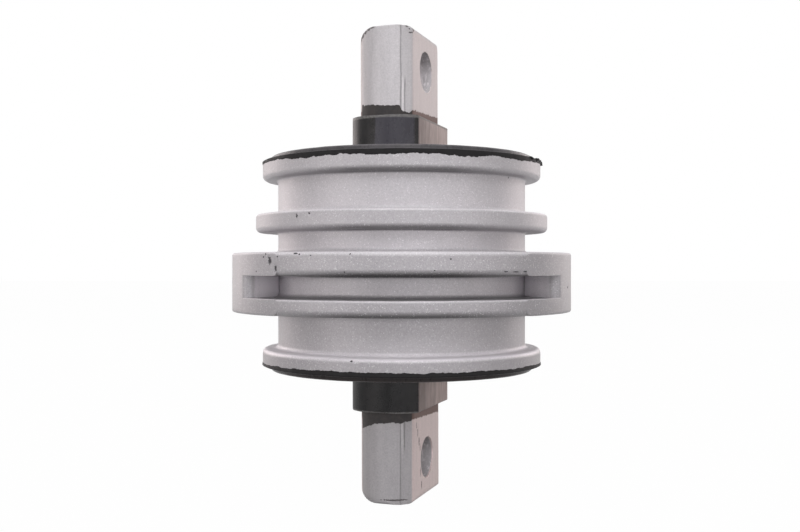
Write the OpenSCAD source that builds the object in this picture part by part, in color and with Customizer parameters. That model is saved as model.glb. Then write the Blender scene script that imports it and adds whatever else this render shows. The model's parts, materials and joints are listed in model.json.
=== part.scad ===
// Transmission mount: a cast housing, a forged steel bar through its middle
// and the rubber that is vulcanised between them. It stands upright, with its
// axis on Z and its origin at the middle of the bar. The cast ears of the
// housing point along X. Sizes are in millimetres.

/* [Bar] */
// Length of the bar, tip to tip
bar_len = 191; // [170:1:215]
// Thickness of the bar between its two flats
bar_t = 22; // [18:0.5:25]
// Width of the bar over its two rounded sides
bar_w = 47; // [40:0.5:50]
// Radius of the rounded sides
bar_side_r = 13; // [12.5:0.5:15]
// Radius that the left flat ends in at each tip
bar_tip_r = 5.3; // [2:0.1:8]
// Radius that the right flat ends in at each tip
bar_edge_r = 1.8; // [0.5:0.1:3]
// Radius that the rounded sides end in at each tip
bar_end_r = 1.2; // [0.5:0.1:3]
// Angle from the ears to the axis of the cross holes
bar_turn = -19; // [-30:1:30]
// Diameter of the cross holes
hole_d = 16.5; // [13:0.5:18]
// Distance from each end of the bar to the axis of its cross hole
hole_margin = 15.5; // [12:0.5:22]

/* [Casting] */
// Length of the casting
cast_len = 81.2; // [76:0.2:90]
// Height of the casting's middle above the bar's middle
cast_lift = 0.5; // [-1:0.1:1]
// Diameter of the plain necks
neck_d = 103; // [98:0.5:108]
// Wall of the necks around the rubber
neck_wall = 6; // [5:0.1:9.5]
// Step from the neck out to the two end rims
rim_step = 6.3; // [5:0.1:8]
// Thickness of the upper rim
upper_rim_t = 6.6; // [5:0.1:8]
// Thickness of the lower rim
lower_rim_t = 6; // [5:0.1:8]
// Step from the neck out to the thin flange
thin_flange_step = 9.1; // [6:0.1:12]
// Thickness of the thin flange
thin_flange_t = 7.4; // [5:0.1:9]
// Height of the thin flange's middle
thin_flange_z = 16.8; // [16:0.1:20]
// Radius on the outer edges of rims and flanges
edge_r = 2; // [0.5:0.1:2.4]
// Radius on the upper edge of the thin flange
thin_edge_r = 1.1; // [0.5:0.1:2.4]
// Radius where a neck meets a face that looks up
floor_fillet_r = 1.6; // [0.4:0.1:2]
// Radius where a neck meets a face that looks down
roof_fillet_r = 0.8; // [0.4:0.1:2]

/* [Middle flange] */
// Step from the neck out to the edge of the two plates
plate_step = 18.7; // [16:0.1:22]
// Height of the upper plate's top face
plate_top_z = 4.8; // [3:0.05:6]
// Thickness of the upper plate
upper_plate_t = 9.15; // [8:0.05:10]
// Height of the slot between the plates
slot_h = 8.4; // [7:0.1:9.5]
// Thickness of the lower plate
lower_plate_t = 6.4; // [6:0.1:8]
// Radius on the lower outer edge of each plate
plate_under_r = 2.5; // [1:0.1:2.8]
// Radius on the upper outer edge of the lower plate
plate_lip_r = 1; // [0.4:0.1:1.6]

/* [Ears] */
// Angle over which each ear reaches along the edge of the plates
ear_angle = 68; // [56:1:76]
// Thickness of each ear where it leaves the neck
ear_root_t = 25.5; // [16:0.5:34]
// Radius on the tips of the ears
ear_tip_r = 3; // [1:0.1:4]
// Depth by which the ears stand back from the plates
ear_relief = 0.2; // [0.1:0.05:0.8]
// Distance between the two steps where the ears' sharper edges start
pad_gap = 93; // [84:0.5:110]
// Radius on the flange's top edge, over the ears
pad_top_r = 1.1; // [0.6:0.1:2]
// Radius on the flange's lowest edge, over the ears
pad_low_r = 0.8; // [0.4:0.1:2]

/* [Rubber] */
// Wall of rubber over the flats of the bar
sleeve_flat_wall = 3.25; // [2:0.05:5]
// Wall of rubber over the rounded sides of the bar
sleeve_side_wall = 3.15; // [2:0.05:5]
// Radius of the sleeve's rounded sides
sleeve_side_r = 18.5; // [18:0.5:22]
// Distance between the two ends of the sleeve
sleeve_span = 118.2; // [110:0.2:126]
// Height of the sleeve's middle above the bar's middle
sleeve_lift = 0.3; // [-1:0.1:1]
// Radius on the sleeve's end edges
sleeve_edge_r = 1; // [0.3:0.1:2]
// Thickness of the rubber on each end face of the casting
skirt_t = 1.3; // [1:0.1:3]
// Distance by which that rubber stops short of the rim's outer face
skirt_inset = 0.2; // [0.2:0.1:2]
// Step from the rim's outer face in to the raised lip
lip_step = 3.4; // [2:0.1:6]
// Height of the raised lip
lip_h = 2; // [0.8:0.1:3]
// Radius on the lip's outer edge
lip_r = 1; // [0.4:0.1:1.2]
// Width of the raised lip, from its outer edge in to the dished ring
lip_w = 6.4; // [4:0.1:10]
// Width of the dished ring
dish_w = 18; // [14:0.5:19]
// Depth of the dished ring
dish_depth = 4.5; // [2:0.1:7]

/* [Hidden] */
$fn = 96;
// Length that a cutting shape runs past what it cuts
past = 1;

cast_top_z = cast_lift + cast_len / 2;
cast_low_z = cast_lift - cast_len / 2;
hole_z = bar_len / 2 - hole_margin;
neck_r = neck_d / 2;
bore_r = neck_r - neck_wall;
rim_r = neck_r + rim_step;
thin_flange_r = neck_r + thin_flange_step;
plate_r = neck_r + plate_step;
ear_r = plate_r - ear_relief;
lip_edge_r = rim_r - lip_step;
dish_out_r = lip_edge_r - lip_w;
slot_top_z = plate_top_z - upper_plate_t;
slot_low_z = slot_top_z - slot_h;
plate_low_z = slot_low_z - lower_plate_t;
thin_top_z = thin_flange_z + thin_flange_t / 2;
thin_low_z = thin_flange_z - thin_flange_t / 2;
sleeve_t = bar_t + 2 * sleeve_flat_wall;
sleeve_w = bar_w + 2 * sleeve_side_wall;
lip_top_z = cast_top_z + skirt_t + lip_h;
lip_low_z = cast_low_z - skirt_t - lip_h;

// Square corner less its rounding: what a radius r takes off a convex corner.
// The corner is at the origin and the material lies towards -X and up * Y.
module corner_waste(r, up) {
    difference() {
        translate([-r, up > 0 ? -past : -r]) square([r + past, r + past]);
        translate([-r, up * r]) circle(r);
    }
}

// Section of a ring from the neck out to radius r_out, with rounded outer edges
module ring_section(r_out, z_low, z_high, r_low, r_high) {
    difference() {
        translate([neck_r - past, z_low]) square([r_out - neck_r + past, z_high - z_low]);
        translate([r_out, z_low]) corner_waste(r_low, 1);
        translate([r_out, z_high]) corner_waste(r_high, -1);
    }
}

// Fillet on the neck at height z: up is 1 above a face and -1 below one
module neck_fillet(z, r, up) {
    difference() {
        translate([neck_r - past, up > 0 ? z - past : z - r]) square([r + past, r + past]);
        translate([neck_r + r, z + up * r]) circle(r);
    }
}

// Half section of the casting as if it were the same all the way round
module casting_section() {
    translate([bore_r, cast_low_z]) square([neck_r - bore_r, cast_len]);
    ring_section(rim_r, cast_top_z - upper_rim_t, cast_top_z, edge_r, skirt_inset);
    ring_section(thin_flange_r, thin_low_z, thin_top_z, edge_r, thin_edge_r);
    ring_section(plate_r, slot_top_z, plate_top_z, plate_under_r, edge_r);
    ring_section(plate_r, plate_low_z, slot_low_z, plate_under_r, plate_lip_r);
    ring_section(rim_r, cast_low_z, cast_low_z + lower_rim_t, skirt_inset, edge_r);
    neck_fillet(cast_top_z - upper_rim_t, roof_fillet_r, -1);
    neck_fillet(thin_top_z, floor_fillet_r, 1);
    neck_fillet(thin_low_z, roof_fillet_r, -1);
    neck_fillet(plate_top_z, floor_fillet_r, 1);
    neck_fillet(slot_top_z, roof_fillet_r, -1);
    neck_fillet(slot_low_z, floor_fillet_r, 1);
    neck_fillet(plate_low_z, roof_fillet_r, -1);
    neck_fillet(cast_low_z + lower_rim_t, floor_fillet_r, 1);
}

// Plan of the pocket between the two ears, open towards +Y. Its sides slant from
// the neck out to the tips of the ears, which are rounded.
module pocket_plan() {
    root = [sqrt(neck_r * neck_r - ear_root_t * ear_root_t / 4), ear_root_t / 2];
    tip = ear_r * [cos(ear_angle / 2), sin(ear_angle / 2)];
    along = (tip - root) / norm(tip - root);
    across = [along[1], -along[0]];
    // A tip's rounding touches the slanted side and the ear's outer face
    centre_out = tip * across + ear_tip_r;
    centre_up = sqrt(pow(ear_r - ear_tip_r, 2) - pow(centre_out, 2));
    centre = centre_out * across + centre_up * along;
    near = root - past * along;
    far = tip + ear_r * along;
    polygon([[-far[0], far[1]], [-near[0], near[1]], near, far]);
    tip_waste(centre, along, across, norm(tip) - norm(centre) + 3 * past);
    mirror([1, 0]) tip_waste(centre, along, across, norm(tip) - norm(centre) + 3 * past);
}

// What the rounding takes off the tip of the right-hand ear
module tip_waste(centre, along, across, reach) {
    inside = centre - (ear_tip_r + past) * across;
    difference() {
        polygon([centre, inside, inside + 2 * reach * along, centre * (ear_r + past) / (ear_r - ear_tip_r)]);
        translate(centre) circle(ear_tip_r);
    }
}

// Two ears that close the slot at the left and right
module ears() {
    difference() {
        translate([0, 0, slot_low_z - past])
            cylinder(h = slot_h + 2 * past, r = ear_r);
        translate([0, 0, slot_low_z - 2 * past])
            cylinder(h = slot_h + 4 * past, r = neck_r - past);
        for (turn = [0, 180])
            rotate([0, 0, turn])
                translate([0, 0, slot_low_z - 2 * past])
                    linear_extrude(slot_h + 4 * past) pocket_plan();
    }
}

// Sharper edges of the two plates over the stretch of each ear: a ring that
// fills the plates' rounded corners out, except in front of and behind the ears
module ear_pads() {
    flange_t = plate_top_z - plate_low_z;
    pad_in_r = plate_r - plate_under_r - past;
    difference() {
        rotate_extrude()
            difference() {
                translate([pad_in_r, plate_low_z]) square([plate_r - pad_in_r, flange_t]);
                translate([pad_in_r - past, slot_low_z])
                    square([plate_r - pad_in_r + 2 * past, slot_h]);
                translate([plate_r, plate_low_z]) corner_waste(pad_low_r, 1);
                translate([plate_r, plate_top_z]) corner_waste(pad_top_r, -1);
            }
        translate([-pad_gap / 2, -plate_r - past, plate_low_z - past])
            cube([pad_gap, 2 * (plate_r + past), flange_t + 2 * past]);
    }
}

module casting() {
    color([0.72, 0.71, 0.72]) {
        rotate_extrude() casting_section();
        ears();
        ear_pads();
    }
}

// Outline of a flat with rounded sides: thickness along X, width along Y
module flat_outline(thickness, width, side_r) {
    centre_y = width / 2 - side_r;
    intersection() {
        square([thickness, width + 2 * past], center = true);
        union() {
            square([thickness, 2 * centre_y], center = true);
            for (side = [-1, 1]) translate([0, side * centre_y]) circle(side_r);
        }
    }
}

// Outline of a long face, centred on the origin, with its corners rounded: the
// two towards -X by r_left and the two towards +X by r_right
module rounded_face(width, height, r_left, r_right) {
    difference() {
        square([width, height], center = true);
        for (up = [-1, 1]) {
            translate([width / 2, up * height / 2]) corner_waste(r_right, -up);
            mirror([1, 0]) translate([width / 2, up * height / 2]) corner_waste(r_left, -up);
        }
    }
}

// The bar without its holes, turned to its place
module bar_blank() {
    rotate([0, 0, bar_turn])
        intersection() {
            translate([0, 0, -bar_len / 2])
                linear_extrude(bar_len) flat_outline(bar_t, bar_w, bar_side_r);
            rotate([90, 0, 0])
                translate([0, 0, -bar_w / 2 - past])
                    linear_extrude(bar_w + 2 * past)
                        rounded_face(bar_t, bar_len, bar_tip_r, bar_edge_r);
            rotate([90, 0, 90])
                translate([0, 0, -bar_t / 2 - past])
                    linear_extrude(bar_t + 2 * past)
                        rounded_face(bar_w, bar_len, bar_end_r, bar_end_r);
        }
}

module bar() {
    color([0.74, 0.73, 0.74])
        difference() {
            bar_blank();
            for (end = [-1, 1])
                rotate([0, 0, bar_turn])
                    translate([-bar_t / 2 - past, 0, end * hole_z])
                        rotate([0, 90, 0]) cylinder(h = bar_t + 2 * past, d = hole_d);
        }
}

// Half section of the rubber without the sleeve: body, skirts, lips and dishes
module rubber_section() {
    // A dish is a circle's arc through its two edges and its lowest point
    dish_half = dish_w / 2;
    dish_r = (dish_half * dish_half + dish_depth * dish_depth) / (2 * dish_depth);
    dish_mid_r = dish_out_r - dish_half;
    difference() {
        union() {
            translate([0, cast_low_z - past]) square([bore_r, cast_len + 2 * past]);
            translate([0, cast_top_z]) square([rim_r - skirt_inset, skirt_t]);
            translate([0, cast_low_z - skirt_t]) square([rim_r - skirt_inset, skirt_t]);
            translate([0, cast_top_z]) square([lip_edge_r, skirt_t + lip_h]);
            translate([0, lip_low_z]) square([lip_edge_r, skirt_t + lip_h]);
        }
        translate([lip_edge_r, lip_top_z]) corner_waste(lip_r, -1);
        translate([lip_edge_r, lip_low_z]) corner_waste(lip_r, 1);
        translate([dish_mid_r, lip_top_z + dish_r - dish_depth]) circle(dish_r);
        translate([dish_mid_r, lip_low_z - dish_r + dish_depth]) circle(dish_r);
    }
}

// Sleeve of rubber around the bar, with rounded end edges
module sleeve() {
    translate([0, 0, sleeve_lift]) rotate([0, 0, bar_turn])
        intersection() {
            translate([0, 0, -sleeve_span / 2])
                linear_extrude(sleeve_span) flat_outline(sleeve_t, sleeve_w, sleeve_side_r);
            rotate([90, 0, 0])
                translate([0, 0, -sleeve_w / 2 - past])
                    linear_extrude(sleeve_w + 2 * past)
                        rounded_face(sleeve_t, sleeve_span, sleeve_edge_r, sleeve_edge_r);
            rotate([90, 0, 90])
                translate([0, 0, -sleeve_t / 2 - past])
                    linear_extrude(sleeve_t + 2 * past)
                        rounded_face(sleeve_w, sleeve_span, sleeve_edge_r, sleeve_edge_r);
        }
}

module rubber() {
    color([0.12, 0.11, 0.12])
        difference() {
            union() {
                rotate_extrude() rubber_section();
                sleeve();
            }
            bar_blank();
        }
}

casting();
rubber();
bar();
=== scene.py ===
# %% [markdown]
# # A transmission mount, dressed in Blender
#
# The real object is a round cast housing with three flanges, a flat forged
# steel bar that stands upright through its middle, and black rubber that is
# cured in between and holds the two together. The solids come from a packed
# model, which stays fixed. This file gives each solid its painted, cast,
# forged or moulded skin.
#
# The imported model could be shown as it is, but its faces are perfectly even.
# A new skin on the same sizes can carry ripples, nicks, ragged rubber and
# paint edges, which is what makes the real thing look real.

import json
import math

import bpy
import bmesh
import numpy as np
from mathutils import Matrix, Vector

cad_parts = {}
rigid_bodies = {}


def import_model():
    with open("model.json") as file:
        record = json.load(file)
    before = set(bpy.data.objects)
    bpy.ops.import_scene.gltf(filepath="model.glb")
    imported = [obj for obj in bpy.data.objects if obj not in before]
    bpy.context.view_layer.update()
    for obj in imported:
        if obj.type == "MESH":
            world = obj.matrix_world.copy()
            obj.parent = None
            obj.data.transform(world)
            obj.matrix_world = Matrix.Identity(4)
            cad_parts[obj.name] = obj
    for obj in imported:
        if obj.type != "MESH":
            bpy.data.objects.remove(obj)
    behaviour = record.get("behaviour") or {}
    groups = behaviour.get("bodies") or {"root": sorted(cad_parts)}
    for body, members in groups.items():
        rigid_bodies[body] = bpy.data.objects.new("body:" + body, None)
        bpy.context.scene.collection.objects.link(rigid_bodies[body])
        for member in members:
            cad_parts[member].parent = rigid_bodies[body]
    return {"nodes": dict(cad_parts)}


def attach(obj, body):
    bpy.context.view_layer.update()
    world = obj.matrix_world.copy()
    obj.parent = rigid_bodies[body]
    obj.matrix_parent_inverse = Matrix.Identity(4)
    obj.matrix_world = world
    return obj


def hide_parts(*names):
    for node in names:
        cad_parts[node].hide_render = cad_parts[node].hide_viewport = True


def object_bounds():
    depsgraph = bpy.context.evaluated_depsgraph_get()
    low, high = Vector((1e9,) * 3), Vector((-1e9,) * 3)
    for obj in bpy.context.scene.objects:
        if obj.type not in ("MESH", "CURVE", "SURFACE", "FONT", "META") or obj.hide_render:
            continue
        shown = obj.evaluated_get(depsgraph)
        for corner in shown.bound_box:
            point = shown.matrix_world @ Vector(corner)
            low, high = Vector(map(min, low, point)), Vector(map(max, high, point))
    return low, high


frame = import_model()
cad_box = [list(corner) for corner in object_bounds()]
print("solids:", sorted(frame["nodes"]))
print("box of the solids, in metres:", cad_box)

# %% [markdown]
# ## Sizes
#
# Blender works in metres here and the drawing of the part is in millimetres,
# so every size below is written in millimetres and multiplied by MM where a
# mesh is made. The heights are measured from the middle of the bar.

# %% Sizes of the casting, the rubber and the bar
MM = 0.001

CAST_TOP, CAST_LOW = 41.1, -40.1
NECK_R, BORE_R, RIM_R, THIN_R, PLATE_R = 51.5, 45.5, 57.8, 60.6, 70.2
UPPER_RIM_UNDER, LOWER_RIM_TOP = 34.5, -34.1
THIN_TOP, THIN_LOW = 20.5, 13.1
PLATE_TOP, SLOT_TOP, SLOT_LOW, PLATE_LOW = 4.8, -4.35, -12.75, -19.15
EAR_R, EAR_HALF_ANGLE, EAR_ROOT_HALF, EAR_TIP_R = 70.22, math.radians(34), 12.75, 3.0
PAD_X = 46.5  # the flange edges are sharper further out along X than this

SKIRT, LIP_R, LIP_TOP, LIP_LOW = 1.3, 54.4, 44.4, -43.4
DISH_OUT, DISH_IN, DISH_DEPTH = 48.0, 30.0, 4.5
SLEEVE_T, SLEEVE_W, SLEEVE_SIDE_R = 29.0, 53.3, 18.7
SLEEVE_TOP, SLEEVE_LOW = 59.4, -58.8

BAR_T, BAR_W, BAR_SIDE_R, BAR_END = 22.7, 47.0, 13.3, 95.5
BAR_TURN = math.radians(-19)
HOLE_R, HOLE_Z = 8.25, 80.0
print("the casting is", CAST_TOP - CAST_LOW, "mm long and", 2 * PLATE_R, "mm wide")

# %% [markdown]
# ## Stage, light and camera
#
# The photograph was taken in a white light tent, with the camera level with
# the middle of the mount and about 42 cm away. A plain pale floor and an even
# white surrounding give the same soft look. The surrounding shows white to the
# camera and in reflections, but it lights the object at a calmer level, so
# that the silver paint doesn't burn out. Large area lamps add the soft
# brightness from above and from both sides.

# %% Helpers that add a node or an object
def add(tree, kind, sockets=None, **settings):
    """Adds a node, sets its options, and fills sockets with values or links."""
    made = tree.nodes.new(kind)
    for name, value in settings.items():
        setattr(made, name, value)
    for key, value in (sockets or {}).items():
        if isinstance(value, bpy.types.NodeSocket):
            tree.links.new(value, made.inputs[key])
        else:
            made.inputs[key].default_value = value
    return made


def put(name, data):
    """Adds an object with this data to the scene."""
    made = bpy.data.objects.new(name, data)
    bpy.context.scene.collection.objects.link(made)
    return made


def looked_at(tree):
    """1 for rays that look at a thing, straight, mirrored or through glass, and 0
    for rays that only carry light from it."""
    path = add(tree, "ShaderNodeLightPath").outputs
    seen = path["Is Camera Ray"]
    for kind in ("Is Glossy Ray", "Is Transmission Ray"):
        seen = add(tree, "ShaderNodeMath", {0: seen, 1: path[kind]}, operation="MAXIMUM").outputs[0]
    return seen


print("helpers ready")

# %% The white surrounding
WHITE = (1, 1, 1, 1)
TENT_LIGHT = 0.16  # how strongly the tent lights the object; it looks as bright as 1

world = bpy.data.worlds.new("light_tent")
bpy.context.scene.world = world
world.use_nodes = True
tent = world.node_tree
tent.nodes.clear()
level = add(tent, "ShaderNodeMapRange", {"Value": looked_at(tent),
                                         "To Min": TENT_LIGHT, "To Max": 1.0})
back = add(tent, "ShaderNodeBackground", {"Color": WHITE, "Strength": level.outputs[0]})
add(tent, "ShaderNodeOutputWorld", {"Surface": back.outputs[0]})
bpy.context.scene.view_settings.view_transform = "Standard"
print("white surrounding made")

# %% The pale floor, which keeps the object's shadow
FLOOR_REACH, FLOOR_GREY, FLOOR_GLOW, GLOW_SHARE = 6.0, 0.16, 1.05, 0.94

floor_z = cad_box[0][2]
floor_mesh = bpy.data.meshes.new("floor")
floor_mesh.from_pydata([(x * FLOOR_REACH, y * FLOOR_REACH, floor_z)
                        for x, y in ((-1, -1), (1, -1), (1, 1), (-1, 1))], [], [(0, 1, 2, 3)])
floor = put("floor", floor_mesh)
pale = bpy.data.materials.new("pale_floor")
pale.use_nodes = True
tree = pale.node_tree
tree.nodes.clear()
share = add(tree, "ShaderNodeMath", {0: looked_at(tree), 1: GLOW_SHARE}, operation="MULTIPLY")
matt = add(tree, "ShaderNodeBsdfDiffuse", {"Color": (FLOOR_GREY, FLOOR_GREY, FLOOR_GREY, 1)})
glow = add(tree, "ShaderNodeEmission", {"Color": WHITE, "Strength": FLOOR_GLOW})
both = add(tree, "ShaderNodeMixShader", {0: share.outputs[0], 1: matt.outputs[0],
                                         2: glow.outputs[0]})
add(tree, "ShaderNodeOutputMaterial", {"Surface": both.outputs[0]})
floor_mesh.materials.append(pale)
print("floor at z =", floor_z)

# %% Soft lamps
def soft_lamp(name, place, size, power, tint=(1, 1, 1)):
    """Adds an area lamp that points at the middle of the mount."""
    data = bpy.data.lights.new(name, "AREA")
    data.shape, data.size, data.size_y = "RECTANGLE", size[0], size[1]
    data.energy, data.color = power, tint
    lamp = put(name, data)
    lamp.location = place
    lamp.rotation_euler = (-lamp.location).to_track_quat("-Z", "Y").to_euler()
    lamp.visible_camera = False


soft_lamp("lamp_above", (0.0, -0.45, 1.1), (1.2, 0.9), 4.5)
soft_lamp("lamp_main", (0.0, -1.08, 0.62), (1.3, 0.5), 5.0, (0.98, 0.97, 1.0))
soft_lamp("lamp_level", (0.15, -1.3, 0.0), (1.0, 0.3), 4.2, (0.99, 0.97, 1.0))
soft_lamp("lamp_level_left", (-0.85, -1.0, 0.0), (0.6, 0.3), 3.0, (1.0, 0.965, 0.975))
soft_lamp("lamp_level_right", (0.85, -1.0, 0.0), (0.6, 0.3), 2.4, (1.0, 0.965, 0.975))
soft_lamp("lamp_front_left", (-1.1, -0.6, 0.0), (0.6, 0.35), 2.8, (1.0, 0.93, 0.92))
soft_lamp("lamp_front_right", (1.1, -0.6, 0.0), (0.6, 0.35), 1.8, (1.0, 0.93, 0.92))
soft_lamp("lamp_left", (-0.98, 0.72, 0.2), (0.8, 0.8), 5.0, (1.0, 0.88, 0.865))
soft_lamp("lamp_right", (0.98, 0.72, 0.2), (0.8, 0.8), 4.2, (1.0, 0.88, 0.865))

# %% The camera of the photograph
camera_data = bpy.data.cameras.new("camera")
camera_data.lens, camera_data.sensor_width = 45.0, 36.0
camera_data.clip_start = 0.01
camera = put("camera", camera_data)
camera.location = (-0.00067, -0.42, -0.00053)
camera.rotation_euler = (math.radians(90), 0, 0)
bpy.context.scene.camera = camera
print("camera level, 45 mm lens, 42 cm from the mount's axis")

# %% [markdown]
# ## Finishes
#
# There are three: silver paint over cast iron, the same paint over the forged
# bar, and black rubber. Each finish is worked out from the place on the object,
# in object coordinates, so that it stays put from every side. An attribute
# named relief, which the skins below carry, says how hollow or how proud each
# point is, so that shade can be painted into corners and a highlight onto edges.
# Much of the tone below is painted light and shade of this kind.
#
# The numbers in remap are read like this: from this value to that one, the
# result goes from here to there. Places are in millimetres, and the results
# were matched to the photograph.

# %% Sums and masks
def remap(tree, value, low, high, to_low=0.0, to_high=1.0):
    """Carries value from the range low..high into to_low..to_high, clamped."""
    return add(tree, "ShaderNodeMapRange", {"Value": value, "From Min": low, "From Max": high,
                                            "To Min": to_low, "To Max": to_high}).outputs[0]


def maths(tree, operation, first, *others):
    """One sum on a value alone, on two, or on more of them one after the other."""
    for other in others or [0.0]:
        first = add(tree, "ShaderNodeMath", {0: first, 1: other}, operation=operation).outputs[0]
    return first


def times(tree, *values):
    """The product of the values."""
    return maths(tree, "MULTIPLY", *values)


def between(tree, value, start, full, last, end):
    """0 up to start, 1 from full to last, and 0 again from end on."""
    return times(tree, remap(tree, value, start, full), remap(tree, value, last, end, 1.0, 0.0))


def tuned(tree, tone, mask, factor):
    """The tone, times factor where the mask is 1."""
    return times(tree, tone, remap(tree, mask, 0.0, 1.0, 1.0, factor))


def distance(tree, first, second):
    """How far the point (first, second) lies from zero."""
    flat = add(tree, "ShaderNodeCombineXYZ", {0: first, 1: second}).outputs[0]
    return add(tree, "ShaderNodeVectorMath", {0: flat}, operation="LENGTH").outputs["Value"]


print("sums ready")

# %% Noise and colours
def noise_value(tree, place, size_mm, detail=2.0, roughness=0.5):
    """Smooth noise from 0 to 1 whose lumps are about size_mm across."""
    made = add(tree, "ShaderNodeTexNoise", {"Vector": place, "Scale": 1 / (size_mm * MM),
                                            "Detail": detail, "Roughness": roughness})
    return made.outputs[0]


def uneven(tree, noise, most):
    """Turns noise into a value from minus most to most."""
    return remap(tree, noise, 0.3, 0.7, -most, most)


def stretch(tree, place, share):
    """The place with its height shrunk, so that noise on it makes upright streaks."""
    return add(tree, "ShaderNodeMapping", {"Vector": place, "Scale": (1, 1, share)},
               vector_type="POINT").outputs[0]


def blend(tree, factor, first, second, kind="MIX"):
    """Mixes two colours."""
    made = add(tree, "ShaderNodeMix", {0: factor}, data_type="RGBA", blend_type=kind)
    for index, colour in ((6, first), (7, second)):
        if isinstance(colour, bpy.types.NodeSocket):
            tree.links.new(colour, made.inputs[index])
        else:
            made.inputs[index].default_value = (*colour, 1)
    return made.outputs[2]


def toned(tree, colour, tone):
    """The colour times the tone."""
    grey = add(tree, "ShaderNodeCombineColor", {0: tone, 1: tone, 2: tone}).outputs[0]
    return blend(tree, 1.0, colour, grey, "MULTIPLY")


def painted_facing_light(tree, brighter, darker):
    """Painted light and shade: a factor that is over 1 on faces that look up and under 1 on those
    that look down.
    """
    normal = add(tree, "ShaderNodeTexCoord").outputs["Normal"]
    up = add(tree, "ShaderNodeSeparateXYZ", {0: normal}).outputs[2]
    return times(tree, remap(tree, up, 0.15, 0.8, 1.0, brighter),
                 remap(tree, up, -0.7, -0.08, darker, 1.0))


print("noise and colours ready")

# %% The start and the end of a finish
def start_finish(name, turn=0.0):
    """An empty material with its tree and its place in object coordinates, which
    is also given turned back by a piece's turn, in metres and in millimetres."""
    made = bpy.data.materials.new(name)
    made.use_nodes = True
    tree = made.node_tree
    tree.nodes.clear()
    place = add(tree, "ShaderNodeTexCoord").outputs["Object"]
    turned = add(tree, "ShaderNodeMapping", {"Vector": place, "Rotation": (0, 0, -turn)},
                 vector_type="POINT").outputs[0]
    in_mm = add(tree, "ShaderNodeVectorMath", {0: turned, 1: (1000, 1000, 1000)},
                operation="MULTIPLY").outputs[0]
    return made, tree, place, turned, in_mm


def split(tree, vector):
    """The three parts of a vector."""
    return add(tree, "ShaderNodeSeparateXYZ", {0: vector}).outputs


def attribute(tree, name):
    """A value that the mesh carries."""
    return add(tree, "ShaderNodeAttribute", attribute_name=name).outputs["Fac"]


def mirrored_across(tree, across, deep):
    """A place across the bar, with left and right swapped on the far side, so that
    the bar and its sleeve look the same from both sides."""
    return times(tree, across, maths(tree, "SIGN", times(tree, deep, -1.0)))


def close_finish(tree, colour, roughness, metallic, bump_height, bump_mm, **sockets):
    """Ends a finish in the standard surface shader with a bump."""
    bump = add(tree, "ShaderNodeBump", {"Height": bump_height, "Distance": bump_mm * MM,
                                        "Strength": 1.0})
    shader = add(tree, "ShaderNodeBsdfPrincipled", {
        "Base Color": colour, "Roughness": roughness, "Metallic": metallic,
        "Normal": bump.outputs[0], **sockets})
    add(tree, "ShaderNodeOutputMaterial", {"Surface": shader.outputs[0]})


print("building blocks ready")

# %% [markdown]
# ### Chips
#
# The photograph shows small dark chips on the flanges, most of them beside the
# left ear. A chip is written as an angle round the casting, a height, a radius
# and its half size. In the finish it is a small ellipse with a ragged edge;
# the same list dents the skin. The back is plain, because the photograph
# doesn't show it.

# %% The chips: angle in degrees from the front, height, radius, half sizes in mm
CHIPS = [
    (-44.3, 1.5, 70.2, 1.0, 1.4), (-41.5, -1.4, 70.2, 0.7, 1.3), (-46.3, 3.9, 70.2, 0.5, 0.35),
    (-47.3, 2.8, 70.2, 0.45, 0.35), (-40.7, 2.9, 70.2, 0.35, 0.3), (-51.4, -2.6, 70.2, 0.5, 0.35),
    (-33.6, 4.0, 70.0, 1.0, 0.3), (-32.0, 3.7, 70.2, 0.4, 0.3), (-27.8, 3.3, 70.2, 0.35, 0.25),
    (-15.2, 3.7, 70.2, 0.35, 0.3), (-16.9, -2.7, 70.2, 0.35, 0.3), (14.2, 1.9, 70.2, 0.4, 0.35),
    (9.4, -2.1, 70.2, 0.35, 0.25), (32.6, -2.6, 70.2, 0.9, 0.22), (36.2, -2.7, 70.2, 1.3, 0.22),
    (40.4, -2.6, 70.2, 0.9, 0.25), (69.5, -9.0, 70.0, 0.9, 0.5), (-40.5, 18.3, 60.6, 0.5, 0.8),
    (-34.5, 19.0, 60.6, 0.5, 0.3), (-18.7, -35.4, 57.8, 0.5, 0.4), (53.9, 33.9, 51.5, 0.5, 0.3),
]
print(len(CHIPS), "chips")


# %% Where the chips are, in a finish
CHIP_DEPTH = 2.5  # how far a chip reaches along the radius, each way


def spots_mask(tree, spot, place, items):
    """1 inside any spot of the list and 0 outside, with a ragged edge. Each
    item has the spot's place and its half sizes, in millimetres."""
    nearest = None
    for middle, half in items:
        local = add(tree, "ShaderNodeMapping", {"Vector": spot, "Location": middle, "Scale": half},
                    vector_type="TEXTURE").outputs[0]
        far = add(tree, "ShaderNodeVectorMath", {0: local}, operation="LENGTH").outputs["Value"]
        nearest = far if nearest is None else maths(tree, "MINIMUM", nearest, far)
    ragged = uneven(tree, noise_value(tree, place, 0.6, 3.0, 0.7), 0.5)
    return remap(tree, maths(tree, "ADD", nearest, ragged), 0.8, 1.05, 1.0, 0.0)


def chip_mask(tree, place, x, y, z):
    """The chips on the casting, which are listed by their angle round it."""
    angle = maths(tree, "ARCTAN2", x, times(tree, y, -1.0))
    spot = add(tree, "ShaderNodeCombineXYZ", {
        0: times(tree, angle, PLATE_R), 1: z, 2: distance(tree, x, y)}).outputs[0]
    return spots_mask(tree, spot, place, [
        ((math.radians(degrees) * PLATE_R, height, r),
         (half_width * PLATE_R / r, half_height, CHIP_DEPTH))
        for degrees, height, r, half_width, half_height in CHIPS])


print("chip masks ready")
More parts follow.
